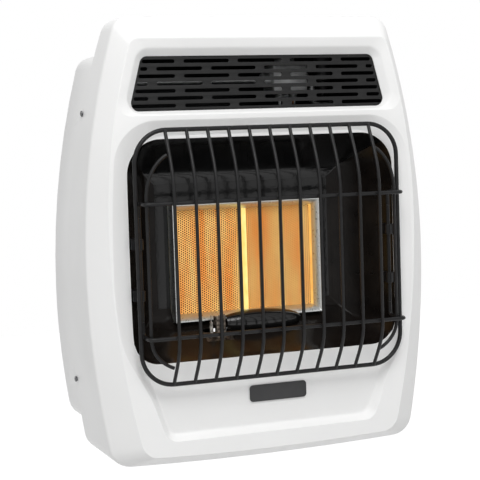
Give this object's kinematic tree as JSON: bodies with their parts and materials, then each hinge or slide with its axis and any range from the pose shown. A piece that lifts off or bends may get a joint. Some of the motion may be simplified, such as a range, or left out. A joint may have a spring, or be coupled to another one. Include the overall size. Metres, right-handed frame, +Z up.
{
  "type": "wall mounted gas heater",
  "caption": "White wall mounted infrared gas heater with bulging sides, a slotted black louver, glowing ceramic plaques behind a bowed wire guard, and a push-in control knob on top.",
  "frame": {"origin": "middle of the wall bracket's back face, on the wall plane", "axes": "+X to the viewer's right, +Y from the room into the wall, +Z up"},
  "size_m": [0.42, 0.2328, 0.508],
  "materials": {
    "white_panel": "satin white baked enamel, slightly soft shine",
    "black_enamel": "glossy black enamel",
    "black_louver": "satin black paint on slotted sheet",
    "guard_wire": "dark grey painted wire, semi-gloss",
    "bright_frame": "bright aluminised sheet",
    "steel": "plain zinc-coated sheet",
    "brass": "machined",
    "alloy": "die-cast or drawn, dull",
    "black_plastic": "moulded, fine grain",
    "plaque_ceramic": "perforated ceramic, glowing orange in use",
    "copper": "drawn copper line",
    "porcelain": "glazed porcelain"
  },
  "bodies": {
    "heater": {"front_panel": "white_panel", "louver_grille": "black_louver", "cabinet_shell": "white_panel", "back_panel": "steel", "wall_bracket": "steel", "wall_spacer_left": "black_plastic", "wall_spacer_right": "black_plastic", "panel_screw_left_upper": "steel", "panel_screw_left_lower": "steel", "panel_screw_right_upper": "steel", "panel_screw_right_lower": "steel", "firebox_back": "black_enamel", "firebox_top": "black_enamel", "firebox_bottom": "black_enamel", "firebox_left": "black_enamel", "firebox_right": "black_enamel", "burner_dome": "black_enamel", "plaque_frame": "bright_frame", "plaque_left": "plaque_ceramic", "plaque_right": "plaque_ceramic", "burner_box": "steel", "mixing_tube": "alloy", "injector": "brass", "control_deck": "black_plastic", "gas_valve": "alloy", "igniter_body": "black_plastic", "regulator": "alloy", "inlet_fitting": "brass", "supply_tube": "alloy", "burner_tube": "alloy", "pilot_bracket": "steel", "pilot_burner": "bright_frame", "pilot_electrode": "porcelain", "thermocouple_tip": "steel", "pilot_tube": "alloy", "thermocouple_line": "copper", "igniter_lead": "black_plastic", "heat_baffle": "steel", "guard_rim": "guard_wire", "guard_wire_01": "guard_wire", "guard_wire_02": "guard_wire", "guard_wire_03": "guard_wire", "guard_wire_04": "guard_wire", "guard_wire_05": "guard_wire", "guard_wire_06": "guard_wire", "guard_wire_07": "guard_wire", "guard_wire_08": "guard_wire", "guard_wire_09": "guard_wire", "guard_wire_10": "guard_wire", "guard_wire_11": "guard_wire", "guard_crossbar_upper": "guard_wire", "guard_crossbar_lower": "guard_wire", "guard_side_wire_left": "guard_wire", "guard_side_run_left": "guard_wire", "guard_side_wire_right": "guard_wire", "guard_side_run_right": "guard_wire"},
    "valve_spring_collar": {"valve_collar": "steel"},
    "knob": {"control_knob": "black_plastic", "valve_stem": "brass"},
    "igniter": {"igniter_button": "black_plastic"}
  },
  "joints": [
    {"name": "knob_press", "type": "slide", "parent": "heater", "child": "valve_spring_collar", "axis": [0, 0, -1], "range_m": [0, 0.004], "stiffness_N_per_m": 900, "springref_m": -0.003},
    {"name": "knob_turn", "type": "hinge", "parent": "valve_spring_collar", "child": "knob", "pos_m": [0.072, -0.088, 0.0653], "axis": [0, 0, 1], "range_deg": [0, 210]},
    {"name": "igniter_press", "type": "slide", "parent": "heater", "child": "igniter", "axis": [0, 0, -1], "range_m": [0, 0.006], "stiffness_N_per_m": 1200, "springref_m": -0.003}
  ]
}
